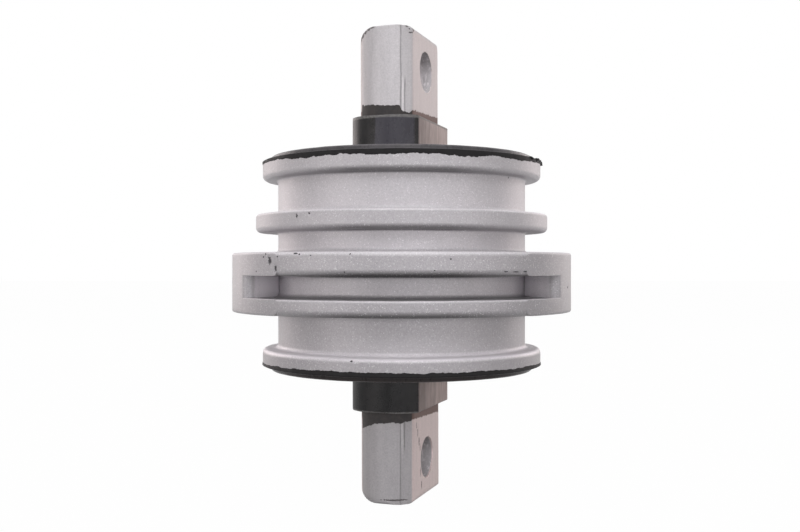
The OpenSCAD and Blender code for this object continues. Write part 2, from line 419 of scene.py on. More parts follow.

# %% [markdown]
# ### Silver paint on the casting
#
# The paint is a thin silver coat over rough cast iron. It could be one metallic
# colour, but close up it is a fine salt-and-pepper of aluminium flakes over a
# grainy surface. Two sizes of noise make the grain, a third makes flakes with a
# painted glint, and the relief attribute paints shade into corners and a
# highlight onto edges. Further painted light and shade follow the way each face
# looks and where it lies on the casting.

# %% The silver cast finish
CAST_SILVER, FLAKE_GLINT, BARE_IRON = (0.42, 0.405, 0.42), (0.92, 0.91, 0.93), (0.035, 0.032, 0.036)


def make_cast_paint():
    """The finish of the casting."""
    made, tree, place, _, in_mm = start_finish("silver_cast_paint")
    x, y, z = split(tree, in_mm)
    radius, sideways = distance(tree, x, y), maths(tree, "ABSOLUTE", x)
    relief, pocket = attribute(tree, "relief"), attribute(tree, "pocket")
    grain = noise_value(tree, place, 0.75, 2.0, 0.65)
    salt = noise_value(tree, place, 0.32, 1.0)

    # Salt and pepper, with painted shade in corners and a painted highlight on
    # edges. Painted shade makes the rims and plates darker than the necks, and
    # the lower half darker than the upper.
    tone = maths(tree, "ADD", remap(tree, noise_value(tree, place, 30, 2.0), 0.3, 0.7, 0.97, 1.03),
                 remap(tree, grain, 0.25, 0.75, -0.11, 0.11), uneven(tree, salt, 0.10))
    tone = times(tree, tone, remap(tree, relief, 0.15, 0.4, 1.0, 0.95),
                 remap(tree, relief, -0.22, -0.04, 1.08, 1.0),
                 remap(tree, radius, 53.0, 56.5, 0.97, 0.84),
                 remap(tree, radius, 62.0, 64.0, 1.0, 0.93),
                 remap(tree, z, -18.0, -10.0, 0.88, 1.0))

    # Painted light and shade: faces that look up are painted bright, except in the
    # slot. Faces that look down are painted dark in the middle and bright at both sides.
    slot_floor = times(tree, remap(tree, radius, 68.6, 69.3, 1.0, 0.0),
                       between(tree, z, -14.5, -13.5, -10.5, -9.5))
    brighter = times(tree, remap(tree, z, -33.0, -31.0, 3.3, 1.95),
                     remap(tree, radius, 53.5, 55.5, 0.8, 1.0))
    darker = remap(tree, sideways, 18.0, 54.0, remap(tree, z, 0.0, 12.0, 0.29, 0.52), 1.35)
    tone = times(tree, tone, painted_facing_light(tree, tuned(tree, brighter, slot_floor, 0.42), darker))

    # Painted light in the ear pockets and painted shade near the ears' tips;
    # painted light on the slot's wall, and painted shade on the right of the middle.
    tone = times(tree, tone, remap(tree, pocket, 0.0, 1.0, 1.0, 2.8),
                 remap(tree, pocket, -1.0, 0.0, 0.5, 1.0))
    slot_wall = times(tree, between(tree, z, -13.5, -12.5, -4.5, -3.5),
                      remap(tree, radius, 52.2, 53.0, 1.0, 0.0), remap(tree, sideways, 25.0, 43.0))
    right_side = times(tree, between(tree, z, -22.0, -18.0, 12.0, 16.0), remap(tree, x, 25.0, 50.0))
    tone = tuned(tree, tuned(tree, tone, slot_wall, 1.55), right_side, 0.86)
    colour = toned(tree, CAST_SILVER, maths(tree, "MINIMUM", tone, 2.2))

    # Flakes: a few near-white specks, a painted glint
    cells = add(tree, "ShaderNodeTexVoronoi", {"Vector": place, "Scale": 1 / (0.3 * MM)})
    cell = add(tree, "ShaderNodeSeparateColor", {0: cells.outputs["Color"]}).outputs[0]
    colour = blend(tree, times(tree, remap(tree, cell, 0.93, 0.99), 0.3), colour, FLAKE_GLINT)
    chips = chip_mask(tree, place, x, y, z)
    colour = blend(tree, chips, colour, BARE_IRON)
    roughness = maths(tree, "ADD", remap(tree, grain, 0.2, 0.8, 0.40, 0.54),
                      times(tree, chips, 0.15))
    height = maths(tree, "ADD", remap(tree, grain, 0.2, 0.8), times(tree, salt, 0.35),
                   times(tree, chips, -1.5))
    close_finish(tree, colour, roughness, 0.2, height, 0.035)
    return made


cast_paint = make_cast_paint()
print("finish:", cast_paint.name)

# %% [markdown]
# ### Silver paint on the bar
#
# The bar is forged, so its paint is smoother. The rubber was cured onto a dark
# bonding primer, which still shows as a ragged band where the silver stops
# short of the rubber. The edge of the silver is a height that changes round
# the bar, broken up with noise.

# %% Where the silver stops, and the knocked places
# From left to right over the near rounded side, as pairs of a place across the bar
# and a height, in mm. The far side has the same edge turned round the axis.
SILVER_STOPS_TOP = [(-11.0, 64.9), (-9.0, 64.2), (-5.8, 64.0), (-1.0, 63.5), (3.0, 63.4),
                    (6.7, 63.3), (7.2, 61.5), (8.2, 61.0), (9.6, 60.7), (10.9, 61.9)]
SILVER_STOPS_LOW = [(-11.0, 66.6), (-9.0, 65.7), (-5.8, 64.7), (-2.9, 63.4), (3.0, 62.9),
                    (7.8, 62.9), (10.9, 62.3)]
# Worn and knocked places on the bar: across, towards the back, height, and half
# sizes in the same directions, in mm
BAR_SPOTS = [
    (-10.6, -18.0, 91.6, 0.7, 1.5, 1.2), (-9.6, -19.3, 92.7, 0.8, 1.5, 1.2),
    (-8.2, -20.6, 93.6, 0.9, 1.5, 0.8), (-6.6, -21.7, 94.4, 1.0, 1.5, 0.6),
    (-4.9, -22.6, 95.0, 1.2, 1.5, 0.5), (8.9, -20.0, 95.2, 0.45, 1.5, 0.5),
    (10.1, -18.6, 95.5, 0.75, 1.5, 0.5), (11.0, -17.2, 95.0, 0.8, 1.2, 0.6),
    (11.0, -16.4, 94.1, 0.9, 0.8, 0.9), (10.7, -17.9, 92.9, 0.6, 1.2, 0.5),
    (9.9, -18.9, 92.8, 0.45, 1.5, 0.45), (9.7, -19.1, 94.3, 0.35, 1.2, 0.4),
    (11.2, -13.6, -65.0, 1.0, 0.3, 1.7), (11.2, -12.3, -68.0, 1.0, 0.35, 1.9),
    (11.2, -10.6, -71.8, 1.0, 0.6, 1.8), (11.2, -9.3, -74.6, 1.0, 0.4, 1.5),
    (11.2, -8.9, -84.6, 1.0, 0.35, 1.7), (11.2, -7.4, -90.0, 1.0, 0.45, 1.8),
    (5.2, -22.0, -93.6, 6.5, 3.0, 0.35),
]
print(len(BAR_SPOTS), "knocked places on the bar")

# %% The silver bar finish with its primer bands
BAR_SILVER, KNOCKED = (0.44, 0.425, 0.435), (0.045, 0.038, 0.038)
FLAT_SIDE_LIGHT_LOW, FLAT_SIDE_LIGHT_HIGH = (1.22, 1.06, 1.01), (1.0, 0.93, 0.905)
PRIMER_DARK, PRIMER_LIGHT = (0.006, 0.004, 0.0045), (0.016, 0.012, 0.011)
PRIMER_FLAT = (0.17, 0.105, 0.09)


def edge_height(tree, across, stops):
    """The height at a place across the bar, between the listed stops, in mm."""
    height, last = stops[0][1], stops[0]
    for stop in stops[1:]:
        step = remap(tree, across, last[0], stop[0], 0.0, stop[1] - last[1])
        height, last = maths(tree, "ADD", height, step), stop
    return height


def line_mask(tree, value, middle, half):
    """1 on a thin line where value equals middle, 0 from half a width away."""
    away = maths(tree, "ABSOLUTE", maths(tree, "SUBTRACT", value, middle))
    return remap(tree, away, half * 0.5, half, 1.0, 0.0)


def make_bar_paint():
    """The finish of the bar."""
    made, tree, place, turned, in_mm = start_finish("silver_bar_paint", BAR_TURN)
    across, deep, z = split(tree, in_mm)
    relief = attribute(tree, "relief")
    grain = noise_value(tree, place, 0.8, 2.0, 0.6)
    salt = noise_value(tree, place, 0.32, 1.0)
    streaks = stretch(tree, turned, 0.12)
    streak = noise_value(tree, streaks, 2.2, 3.0, 0.6)
    seen_across = mirrored_across(tree, across, deep)
    upper = remap(tree, z, -1.0, 1.0)
    height = maths(tree, "ABSOLUTE", z)
    sideways = maths(tree, "ABSOLUTE", across)
    on_flat = remap(tree, sideways, 10.3, 10.7)
    on_round = maths(tree, "SUBTRACT", 1.0, on_flat)

    tone = maths(tree, "ADD", remap(tree, grain, 0.25, 0.75, 0.92, 1.08),
                 uneven(tree, salt, 0.09), uneven(tree, streak, 0.06))
    # Painted shade in hollows, painted light and shade by facing, and painted shade on the lower
    # bar's rounded sides
    tone = times(tree, tone, remap(tree, relief, 0.03, 0.22, 1.0, 0.75),
                 painted_facing_light(tree, 1.2, 0.7))
    low_round = times(tree, remap(tree, z, -62.0, -60.0, 1.0, 0.0), on_round)
    tone = tuned(tree, tone, low_round, 0.69)

    # Flash of the forging dies: two thin dark lines with a light run between them,
    # painted shade and a painted highlight along the ridge
    line_at = maths(tree, "ADD", seen_across,
                    uneven(tree, noise_value(tree, streaks, 1.2, 3.0), 0.12))
    near_or_far = remap(tree, maths(tree, "ABSOLUTE", deep), 16.0, 16.5)
    low_part = remap(tree, height, 72.0, 76.0, 1.0, 0.0)
    broken = remap(tree, noise_value(tree, streaks, 0.9, 3.0, 0.7), 0.35, 0.55, 0.3, 1.0)
    first, second, light = (
        times(tree, line_mask(tree, line_at, middle, half), near_or_far, part)
        for middle, half, part in ((6.9, 0.32, broken), (8.2, 0.28, low_part),
                                   (7.5, 0.42, low_part)))
    tone = tuned(tree, tone, maths(tree, "MAXIMUM", first, second), 0.58)
    tone = tuned(tree, tone, light, 1.3)

    # Painted light in the holes, in streaks, and painted shade towards the left
    # edge of the upper bar's rounded sides
    from_axis = distance(tree, deep, maths(tree, "SUBTRACT", height, HOLE_Z))
    in_hole = times(tree, remap(tree, from_axis, HOLE_R + 0.1, HOLE_R + 0.35, 1.0, 0.0),
                    remap(tree, sideways, 11.0, 11.3, 1.0, 0.0))
    streaked_light = remap(tree, noise_value(tree, streaks, 0.9, 2.0), 0.55, 0.65, 1.5, 2.1)
    left_edge = times(tree, remap(tree, seen_across, -9.0, -3.0, upper, 0.0), on_round)
    tone = tuned(tree, tuned(tree, tone, in_hole, streaked_light), left_edge, 0.86)
    silver = toned(tree, BAR_SILVER, tone)
    # Painted light: the flats are warmer, and the lower ones lighter, from the warm light at the
    # sides
    flat_side_light = blend(tree, upper, FLAT_SIDE_LIGHT_LOW, FLAT_SIDE_LIGHT_HIGH)
    silver = blend(tree, on_flat, silver, flat_side_light, "MULTIPLY")

    # The edge of the silver is fairly straight, with small nicks
    edge = remap(tree, upper, 0.0, 1.0, edge_height(tree, seen_across, SILVER_STOPS_LOW),
                 edge_height(tree, seen_across, SILVER_STOPS_TOP))
    edge = remap(tree, on_flat, 0.0, 1.0, edge, remap(tree, deep, -17.0, 17.0, 61.9, 63.4))
    edge = maths(tree, "ADD", edge, uneven(tree, noise_value(tree, place, 1.6, 3.0, 0.6), 0.4))
    bare = remap(tree, maths(tree, "SUBTRACT", height, edge), -0.12, 0.12, 1.0, 0.0)
    primer = blend(tree, remap(tree, noise_value(tree, place, 2.5, 3.0), 0.35, 0.65),
                   PRIMER_DARK, PRIMER_LIGHT)
    primer = blend(tree, times(tree, on_flat, 0.75), primer, PRIMER_FLAT)
    colour = blend(tree, bare, silver, primer)
    spots = spots_mask(tree, in_mm, place, [(spot[:3], spot[3:]) for spot in BAR_SPOTS])
    colour = blend(tree, times(tree, spots, 0.85), colour, KNOCKED)
    bare = maths(tree, "MAXIMUM", bare, spots)
    roughness = maths(tree, "ADD", remap(tree, grain, 0.2, 0.8, 0.45, 0.58), times(tree, bare, 0.2))
    metallic = times(tree, maths(tree, "SUBTRACT", 1.0, bare), 0.2)
    bump = maths(tree, "ADD", times(tree, grain, 0.8), streak, times(tree, bare, -2.0))
    close_finish(tree, colour, roughness, metallic, bump, 0.03)
    return made


bar_paint = make_bar_paint()
print("finish:", bar_paint.name)

# %% [markdown]
# ### Black rubber
#
# The rubber is smooth from its mould and half glossy, with faint flow streaks
# and a little grey dust. A plain black would swallow the shapes, so the gloss
# varies a little and the proud edges carry a painted grey highlight. Painted
# reflections lie on the sleeve, and painted light on the ends of the body.

# %% The rubber finish
BLACK, DUSTY_BLACK, PROUD_EDGE_HIGHLIGHT = (0.005, 0.0045, 0.005), (0.014, 0.012, 0.013), (0.05, 0.046, 0.05)
BLUE_GREY_REFLECTION, END_EDGE_HIGHLIGHT = (0.040, 0.038, 0.048), (0.17, 0.165, 0.16)
FLAT_SHEEN_DARK, FLAT_SHEEN_LIGHT = (0.40, 0.33, 0.31), (0.53, 0.445, 0.425)
SKIRT_LOW, SKIRT_HIGH = (0.014, 0.011, 0.011), (0.070, 0.066, 0.070)


def make_rubber():
    """The finish of the rubber body, the sleeve and the torn flash."""
    made, tree, place, _, in_mm = start_finish("black_rubber", BAR_TURN)
    across, deep, z = split(tree, in_mm)
    height = maths(tree, "ABSOLUTE", z)
    streaks = stretch(tree, place, 0.2)
    streak = noise_value(tree, streaks, 2.0, 3.0, 0.6)
    dust = noise_value(tree, place, 6.0, 4.0, 0.7)
    fine = noise_value(tree, place, 0.7, 2.0)
    colour = blend(tree, remap(tree, dust, 0.5, 0.75, 0.0, 0.5), BLACK, DUSTY_BLACK)
    # Painted highlight: the proud edges are greyer
    proud = remap(tree, attribute(tree, "relief"), -0.25, -0.08, 0.2, 0.0)
    colour = blend(tree, proud, colour, PROUD_EDGE_HIGHLIGHT)

    # On the sleeve: a painted blue-grey reflection on the upper rounded sides, which
    # stops at a sharp line, and a painted warm reflection on the flats, with streaks
    # and painted shade across them
    seen_across = maths(tree, "ADD", mirrored_across(tree, across, deep),
                        uneven(tree, noise_value(tree, streaks, 5.0, 2.0), 0.4))
    reflection_band = times(tree, between(tree, seen_across, -2.2, -1.7, 12.4, 13.0),
                  remap(tree, z, 45.0, 45.5), 0.9)
    colour = blend(tree, reflection_band, colour, BLUE_GREY_REFLECTION)
    flat = times(tree, remap(tree, maths(tree, "ABSOLUTE", across), 13.9, 14.2),
                 remap(tree, height, 44.4, 44.9))
    streaked_light = blend(tree, remap(tree, streak, 0.42, 0.6), FLAT_SHEEN_DARK, FLAT_SHEEN_LIGHT)
    shade = maths(tree, "ADD", deep, uneven(tree, noise_value(tree, streaks, 4.0, 2.0), 3.0))
    streaked_light = toned(tree, streaked_light, remap(tree, shade, -16.0, 4.0, 0.66, 1.12))
    colour = blend(tree, times(tree, flat, 0.9), colour, streaked_light)

    # On the body: dust and painted light on the ends, which the torn flash at the
    # rims doesn't take; the upper end is painted lighter than the lower
    out = distance(tree, across, deep)
    from_rim = maths(tree, "ABSOLUTE", maths(tree, "SUBTRACT", height, 41.2))
    torn = times(tree, remap(tree, from_rim, 1.9, 2.2, 1.0, 0.0), remap(tree, out, 57.2, 57.5))
    skirt = times(tree, remap(tree, out, 38.0, 42.0), maths(tree, "SUBTRACT", 1.0, torn),
                  remap(tree, dust, 0.3, 0.6, 0.65, 1.0))
    dust_and_light = blend(tree, remap(tree, z, -1.0, 1.0), SKIRT_LOW, SKIRT_HIGH)
    colour = blend(tree, skirt, colour, toned(tree, dust_and_light, painted_facing_light(tree, 1.9, 3.0)))

    # A painted highlight on the sleeve's end edges
    edge = times(tree, remap(tree, height, 58.0, 58.5), remap(tree, fine, 0.3, 0.6, 0.4, 0.9))
    colour = blend(tree, edge, colour, END_EDGE_HIGHLIGHT)
    roughness = maths(tree, "ADD", remap(tree, streak, 0.3, 0.7, 0.20, 0.32),
                      remap(tree, dust, 0.4, 0.7, 0.0, 0.12),
                      times(tree, maths(tree, "MAXIMUM", flat, torn), 0.35))
    bump = maths(tree, "ADD", streak, times(tree, fine, 0.3))
    close_finish(tree, colour, roughness, 0.0, bump, 0.04, **{"Specular IOR Level": 0.2})
    return made


rubber_black = make_rubber()
print("finish:", rubber_black.name)

# %% [markdown]
# ## Turning a section round the axis
#
# The casting and the rubber body are round, so each is a section that is
# carried round the Z axis. A spin in mesh code would do for a plain ring. The
# casting is not quite plain: over its two ears the flange edges are sharper.
# So a Geometry Nodes tree does the turning. The section is a line whose points
# carry two places each, one for the plain stretch and one for the stretch over
# the ears, and the tree picks one by how far the point lies out along X.

# %% A section line with rounded corners
def rounded_section(corners, ear=False, counts=None):
    """Points of a closed section whose corners are (r, z, radius, radius over
    the ears, arc points, step). Both variants have the same number of points."""
    total = len(corners)
    arcs = []
    for i in range(total):
        before, here, after = (np.array(corners[j % total][:2]) for j in (i - 1, i, i + 1))
        radius = corners[i][3] if ear else corners[i][2]
        a = (before - here) / np.linalg.norm(before - here)
        b = (after - here) / np.linalg.norm(after - here)
        if radius <= 0:
            arcs.append([here])
            continue
        half = math.acos(np.clip(a @ b, -1, 1)) / 2
        reach = radius / math.tan(half)
        middle = here + (a + b) / np.linalg.norm(a + b) * radius / math.sin(half)
        start, end = here + a * reach - middle, here + b * reach - middle
        n = corners[i][4]
        turn = math.atan2(start[0] * end[1] - start[1] * end[0], start @ end)
        arcs.append([middle + np.array([start[0] * math.cos(t) - start[1] * math.sin(t),
                                        start[0] * math.sin(t) + start[1] * math.cos(t)])
                     for t in np.linspace(0, turn, n)])
    points, used = [], []
    for i in range(total):
        points.extend(arcs[i])
        start, end = arcs[i][-1], arcs[(i + 1) % total][0]
        length = np.linalg.norm(end - start)
        n = counts[i] if counts else max(1, round(length / corners[i][5]))
        used.append(n)
        hold = min(0.2 / max(length, 0.2), 0.25)
        stops = [k / n for k in range(1, n)]
        if n > 1:
            stops = [hold] + stops + [1 - hold]
        points.extend(start + (end - start) * t for t in stops)
    return np.array(points), used


print("corners can be rounded")

# %% The section as a mesh line that carries both places
def section_object(name, corners):
    """A closed line of edges with the attributes that the turning tree reads."""
    plain, counts = rounded_section(corners)
    ears, _ = rounded_section(corners, ear=True, counts=counts)
    mesh = bpy.data.meshes.new(name)
    n = len(plain)
    mesh.from_pydata([(r * MM, 0, z * MM) for r, z in plain],
                     [(i, (i + 1) % n) for i in range(n)], [])
    for label, values in (("r_plain", plain[:, 0]), ("z_plain", plain[:, 1]),
                          ("r_ear", ears[:, 0]), ("z_ear", ears[:, 1])):
        mesh.attributes.new(label, "FLOAT", "POINT").data.foreach_set("value", values * MM)
    return put(name, mesh)


print("sections ready")

# %% The turning tree
def named(tree, name):
    """Reads a named attribute in a geometry tree."""
    return add(tree, "GeometryNodeInputNamedAttribute", {"Name": name},
               data_type="FLOAT").outputs[0]


def start_tree(name, **inputs):
    """An empty geometry tree with named inputs of the given kinds, and their values."""
    tree = bpy.data.node_groups.new(name, "GeometryNodeTree")
    tree.interface.new_socket("Geometry", in_out="INPUT", socket_type="NodeSocketGeometry")
    for label, kind in inputs.items():
        tree.interface.new_socket(label, in_out="INPUT", socket_type="NodeSocket" + kind)
    tree.interface.new_socket("Geometry", in_out="OUTPUT", socket_type="NodeSocketGeometry")
    return tree, add(tree, "NodeGroupInput").outputs


def end_tree(tree, geometry, finish):
    """Ends a tree in Realize Instances and Set Material."""
    real = add(tree, "GeometryNodeRealizeInstances", {0: geometry})
    done = add(tree, "GeometryNodeSetMaterial", {"Geometry": real.outputs[0], "Material": finish})
    add(tree, "NodeGroupOutput", {0: done.outputs[0]})
    print("tree:", tree.name, "with", len(tree.nodes), "nodes")


turning, given = start_tree("turn_section", segments="Int", ears_from_x="Float", finish="Material")
line = add(turning, "GeometryNodeMeshToCurve", {0: given["Geometry"]})
ring = add(turning, "GeometryNodeCurvePrimitiveCircle", {"Resolution": given["segments"],
                                                         "Radius": 1.0}, mode="RADIUS")
share = add(turning, "GeometryNodeSplineParameter").outputs["Factor"]
ring = add(turning, "GeometryNodeStoreNamedAttribute", {
    "Geometry": ring.outputs[0], "Name": "turn", "Value": times(turning, share, 2 * math.pi)},
    data_type="FLOAT", domain="POINT")
swept = add(turning, "GeometryNodeCurveToMesh", {"Curve": ring.outputs[0],
                                                 "Profile Curve": line.outputs[0]})
turn = named(turning, "turn")
cosine, sine = maths(turning, "COSINE", turn), maths(turning, "SINE", turn)
out_x = maths(turning, "ABSOLUTE", times(turning, named(turning, "r_plain"), cosine))
is_ear = maths(turning, "GREATER_THAN", out_x, given["ears_from_x"])
places = []
for plain_name, ear_name in (("r_plain", "r_ear"), ("z_plain", "z_ear")):
    plain = named(turning, plain_name)
    step = maths(turning, "SUBTRACT", named(turning, ear_name), plain)
    places.append(maths(turning, "ADD", plain, times(turning, step, is_ear)))
radius, height = places
spot = add(turning, "ShaderNodeCombineXYZ", {
    0: times(turning, radius, cosine), 1: times(turning, radius, sine), 2: height})
moved = add(turning, "GeometryNodeSetPosition", {"Geometry": swept.outputs[0],
                                                 "Position": spot.outputs[0]})
end_tree(turning, moved.outputs[0], given["finish"])


# %% Running a tree on an object and keeping the plain result
def run_tree(name, source, tree, **values):
    """Sets the tree's inputs by identifier, evaluates it and returns a plain mesh."""
    modifier = source.modifiers.new(tree.name, "NODES")
    modifier.node_group = tree
    for item in tree.interface.items_tree:
        if item.item_type == "SOCKET" and item.in_out == "INPUT" and item.name in values:
            modifier[item.identifier] = values[item.name]
    bpy.context.view_layer.update()
    graph = bpy.context.evaluated_depsgraph_get()
    mesh = bpy.data.meshes.new_from_object(source.evaluated_get(graph),
                                           preserve_all_data_layers=True, depsgraph=graph)
    bpy.data.objects.remove(source)
    mesh.name = name
    return put(name, mesh)


def face_outwards(mesh):
    """Turns every face of a closed mesh outwards."""
    work = bmesh.new()
    work.from_mesh(mesh)
    bmesh.ops.recalc_face_normals(work, faces=work.faces)
    if work.calc_volume(signed=True) < 0:
        bmesh.ops.reverse_faces(work, faces=work.faces)
    work.to_mesh(mesh)
    work.free()


print("trees can be run")

# %% [markdown]
# ## The skin tree
#
# Sand moulds, forging dies and rubber moulds all leave a surface that is
# slightly uneven. A second Geometry Nodes tree follows any piece's surface: it
# pulls the points in by two sizes of noise, never out, so that the piece stays
# inside the solid's box. It also stores relief: how far the blurred
# neighbourhood lies above the point, in millimetres.

# %% The skin tree
skin, given = start_tree("uneven_skin", ripple_height="Float", ripple_size="Float",
                         grain_height="Float", grain_size="Float", seed="Float", finish="Material")
here = add(skin, "GeometryNodeInputPosition").outputs[0]
normal = add(skin, "GeometryNodeInputNormal").outputs[0]
offset = add(skin, "ShaderNodeCombineXYZ", {0: given["seed"], 1: given["seed"], 2: 0.0})
sample = add(skin, "ShaderNodeVectorMath", {0: here, 1: offset.outputs[0]}, operation="ADD")
waves = []
for kind in ("ripple", "grain"):
    scale = maths(skin, "DIVIDE", 1.0, given[kind + "_size"])
    wave = add(skin, "ShaderNodeTexNoise", {"Vector": sample.outputs[0], "Scale": scale,
                                            "Detail": 2.0}).outputs[0]
    waves.append(times(skin, wave, given[kind + "_height"]))
inwards = times(skin, maths(skin, "ADD", *waves), -1.0)
pull = add(skin, "ShaderNodeVectorMath", {0: normal, "Scale": inwards}, operation="SCALE")
pulled = add(skin, "GeometryNodeSetPosition", {"Geometry": given["Geometry"],
                                               "Offset": pull.outputs[0]})
blurred = add(skin, "GeometryNodeBlurAttribute", {"Value": here, "Iterations": 5},
              data_type="FLOAT_VECTOR")
above = add(skin, "ShaderNodeVectorMath", {0: blurred.outputs[0], 1: here}, operation="SUBTRACT")
above = add(skin, "ShaderNodeVectorMath", {0: above.outputs[0], 1: normal}, operation="DOT_PRODUCT")
stored = add(skin, "GeometryNodeStoreNamedAttribute", {
    "Geometry": pulled.outputs[0], "Name": "relief",
    "Value": times(skin, above.outputs["Value"], 1 / MM)}, data_type="FLOAT", domain="POINT")
end_tree(skin, stored.outputs[0], given["finish"])


def give_skin(piece, name, finish, ripple, grain, seed):
    """Puts the skin tree on a piece and returns the finished piece. Ripple and
    grain are each a height and a size in millimetres."""
    done = run_tree(name, piece, skin, ripple_height=ripple[0] * MM, ripple_size=ripple[1] * MM,
                    grain_height=grain[0] * MM, grain_size=grain[1] * MM, seed=seed, finish=finish)
    done.data.shade_smooth()
    return done


# %% [markdown]
# ## The casting
#
# Its section runs from the top rim down over the neck, the thin flange, the two
# plates with the slot between them and the lower rim, and back up the bore. The
# step of the points is fine where an edge shows and coarse where the rubber
# hides the metal.

# %% Section of the casting and the turned shell
CAST_CORNERS = [
    # r, z, radius, radius over the ears, points in the arc, step to the next corner
    (BORE_R, CAST_TOP, 0, 0, 1, 6), (RIM_R, CAST_TOP, 0.2, 0.2, 3, 0.8),
    (RIM_R, UPPER_RIM_UNDER, 2.0, 2.0, 6, 2.0), (NECK_R, UPPER_RIM_UNDER, 0.8, 0.8, 4, 1.3),
    (NECK_R, THIN_TOP, 1.6, 1.6, 5, 2.2), (THIN_R, THIN_TOP, 1.1, 1.1, 5, 0.8),
    (THIN_R, THIN_LOW, 2.0, 2.0, 6, 2.2), (NECK_R, THIN_LOW, 0.8, 0.8, 4, 1.3),
    (NECK_R, PLATE_TOP, 1.6, 1.6, 5, 2.6), (PLATE_R, PLATE_TOP, 2.0, 1.1, 6, 0.8),
    (PLATE_R, SLOT_TOP, 2.5, 0.3, 6, 2.6), (NECK_R, SLOT_TOP, 0.8, 0.8, 4, 1.3),
    (NECK_R, SLOT_LOW, 1.6, 1.6, 5, 2.6), (PLATE_R, SLOT_LOW, 1.0, 0.3, 5, 0.8),
    (PLATE_R, PLATE_LOW, 2.5, 0.8, 6, 2.6), (NECK_R, PLATE_LOW, 0.8, 0.8, 4, 1.3),
    (NECK_R, LOWER_RIM_TOP, 1.6, 1.6, 5, 2.0), (RIM_R, LOWER_RIM_TOP, 2.0, 2.0, 6, 0.8),
    (RIM_R, CAST_LOW, 0.2, 0.2, 3, 6), (BORE_R, CAST_LOW, 0, 0, 1, 40),
]
SEGMENTS = 432  # steps round the axis
shell = run_tree("casting_shell", section_object("casting_section", CAST_CORNERS), turning,
                 segments=SEGMENTS, ears_from_x=PAD_X * MM, finish=cast_paint)
face_outwards(shell.data)
print("casting shell:", len(shell.data.polygons), "faces")

# %% [markdown]
# ### The ears
#
# Two ears close the slot, left and right. From above each is a wedge whose
# sides slant outwards from the neck and end in round tips at the plates' edge.
# Its outline is written as one line of points and extruded through both plates,
# so that the end of the ear is one smooth face from the lower edge to the upper.

# %% Meshes through stacked rings
def ring_at(outline, z):
    """A flat outline as a ring of points at one height."""
    return np.column_stack([outline, np.full(len(outline), z)])


def edge_inset(depth, radius):
    """How far a rounded end edge has come in at this depth below the end."""
    if depth >= radius:
        return 0.0
    return radius - math.sqrt(max(radius ** 2 - (radius - depth) ** 2, 0.0))


def tube(name, rings):
    """A closed mesh through rings of equally many points, in millimetres."""
    n, rows = len(rings[0]), len(rings)
    faces = [(k * n + i, k * n + (i + 1) % n, (k + 1) * n + (i + 1) % n, (k + 1) * n + i)
             for k in range(rows - 1) for i in range(n)]
    faces += [tuple(reversed(range(n))), tuple(range(n * (rows - 1), n * rows))]
    mesh = bpy.data.meshes.new(name)
    mesh.from_pydata((np.concatenate(rings) * MM).tolist(), [], faces)
    face_outwards(mesh)
    return mesh


print("rings ready")

# %% The ears as extruded outlines
EAR_TOP_R, EAR_LOW_R = 1.1, 0.8  # how round the ear's upper and lower edges are


def ear_outline():
    """The plan of the right ear, counter-clockwise, in millimetres."""
    root = np.array([math.sqrt(NECK_R ** 2 - EAR_ROOT_HALF ** 2), EAR_ROOT_HALF])
    tip = EAR_R * np.array([math.cos(EAR_HALF_ANGLE), math.sin(EAR_HALF_ANGLE)])
    along = (tip - root) / np.linalg.norm(tip - root)
    across = np.array([along[1], -along[0]])
    out = tip @ across + EAR_TIP_R
    middle = out * across + math.sqrt((EAR_R - EAR_TIP_R) ** 2 - out ** 2) * along
    face_start = math.atan2(middle[1], middle[0])
    near, touch = root - 1.5 * along, middle - EAR_TIP_R * across
    side = [near + (touch - near) * t for t in np.linspace(0, 0.97, 24)]
    tip_arc = [middle + EAR_TIP_R * np.array([math.cos(t), math.sin(t)])
               for t in np.linspace(math.atan2(-across[1], -across[0]), face_start + 0.1, 14)]
    back = [tuple(p) for p in side + tip_arc]
    face = [(EAR_R * math.cos(t), EAR_R * math.sin(t))
            for t in np.linspace(-face_start + 0.004, face_start - 0.004, 84)]
    return np.array([(x, -y) for x, y in back] + face + back[::-1])


def make_ear(side):
    """A closed prism of the ear's outline; side is 1 for right and -1 for left."""
    levels = np.concatenate([PLATE_LOW + np.array([0.12, 0.25, 0.45]),
                             np.linspace(PLATE_LOW + EAR_LOW_R, PLATE_TOP - EAR_TOP_R, 26),
                             PLATE_TOP - np.array([0.7, 0.4, 0.2, 0.1])])
    rings = []
    for z in levels:
        inset = edge_inset(PLATE_TOP - z, EAR_TOP_R) + edge_inset(z - PLATE_LOW, EAR_LOW_R)
        rings.append(ring_at(side * ear_outline() * (1 - inset / EAR_R), z))
    return tube("ear", rings)


def join_meshes(name, meshes):
    """One mesh object out of several meshes."""
    work = bmesh.new()
    for mesh in meshes:
        work.from_mesh(mesh)
    whole = bpy.data.meshes.new(name)
    work.to_mesh(whole)
    work.free()
    return put(name, whole)


shell_points = len(shell.data.vertices)
raw_casting = join_meshes("raw_casting", [shell.data, make_ear(1), make_ear(-1)])
bpy.data.objects.remove(shell)
print("casting with ears:", len(raw_casting.data.polygons), "faces")

# %% Dents where the chips are, then the cast skin
def points_in_mm(mesh):
    """The places of a mesh's points, one in a row."""
    place = np.zeros(len(mesh.vertices) * 3)
    mesh.vertices.foreach_get("co", place)
    return place.reshape(-1, 3) / MM


